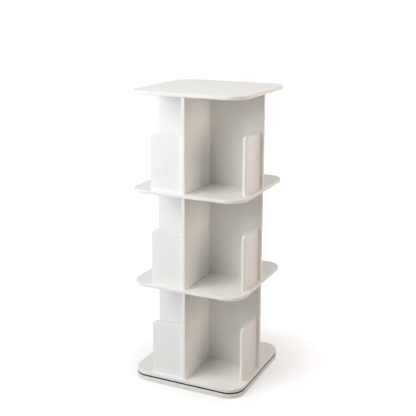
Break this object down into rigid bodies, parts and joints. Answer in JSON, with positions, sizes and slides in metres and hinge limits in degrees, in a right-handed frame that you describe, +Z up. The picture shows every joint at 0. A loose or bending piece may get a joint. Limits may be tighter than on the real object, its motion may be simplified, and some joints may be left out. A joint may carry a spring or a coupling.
{
  "type": "revolving bookcase",
  "caption": "Square tiered bookcase with round corners that turns on a ball-bearing base; crossed dividers and low guards make its compartments.",
  "frame": {"origin": "on the floor, under the axis of the turntable", "axes": "+Z up along the turntable's axis, -Y towards the front, +X to the right"},
  "size_m": [0.4, 0.4, 0.994],
  "materials": {
    "white_board": "warm white satin lacquer on smooth MDF board",
    "pad_rubber": "matt black rubber",
    "turntable_aluminium": "plain rolled aluminium",
    "cage_plastic": "natural nylon",
    "bearing_steel": "polished bearing steel",
    "zinc_screws": "bright zinc plate",
    "beech_dowels": "plain beech",
    "cap_plastic": "white plastic"
  },
  "bodies": {
    "base": {"foot_pads": "pad_rubber", "base_board": "white_board", "turntable_outer_ring": "turntable_aluminium", "turntable_base_screws": "zinc_screws"},
    "ball_cage_set": {"ball_cage": "cage_plastic", "bearing_balls": "bearing_steel"},
    "carousel": {"lower_cross_dowels": "beech_dowels", "lower_floor_screws": "zinc_screws", "lower_front_divider": "white_board", "lower_front_guard": "white_board", "lower_guard_screws": "zinc_screws", "lower_left_guard": "white_board", "lower_long_divider": "white_board", "lower_rear_divider": "white_board", "lower_rear_guard": "white_board", "lower_right_guard": "white_board", "lower_screw_caps": "cap_plastic", "lower_shelf": "white_board", "lower_top_dowels": "beech_dowels", "middle_cross_dowels": "beech_dowels", "middle_floor_screws": "zinc_screws", "middle_front_divider": "white_board", "middle_front_guard": "white_board", "middle_guard_screws": "zinc_screws", "middle_left_guard": "white_board", "middle_long_divider": "white_board", "middle_rear_divider": "white_board", "middle_rear_guard": "white_board", "middle_right_guard": "white_board", "middle_screw_caps": "cap_plastic", "middle_shelf": "white_board", "middle_top_dowels": "beech_dowels", "top_board": "white_board", "turntable_inner_ring": "turntable_aluminium", "turntable_shelf_screws": "zinc_screws", "upper_cross_dowels": "beech_dowels", "upper_floor_screws": "zinc_screws", "upper_front_divider": "white_board", "upper_front_guard": "white_board", "upper_guard_screws": "zinc_screws", "upper_left_guard": "white_board", "upper_long_divider": "white_board", "upper_rear_divider": "white_board", "upper_rear_guard": "white_board", "upper_right_guard": "white_board", "upper_screw_caps": "cap_plastic", "upper_shelf": "white_board", "upper_top_dowels": "beech_dowels"}
  },
  "joints": [
    {"name": "carousel_turn", "type": "hinge", "parent": "base", "child": "carousel", "pos_m": [0, 0, 0.017], "axis": [0, 0, 1], "continuous": true},
    {"name": "ball_cage_turn", "type": "hinge", "parent": "base", "child": "ball_cage_set", "pos_m": [0, 0, 0.017], "axis": [0, 0, 1], "continuous": true}
  ],
  "couplings": [
    {"joint": "ball_cage_turn", "follows": "carousel_turn", "ratio": 0.5}
  ]
}
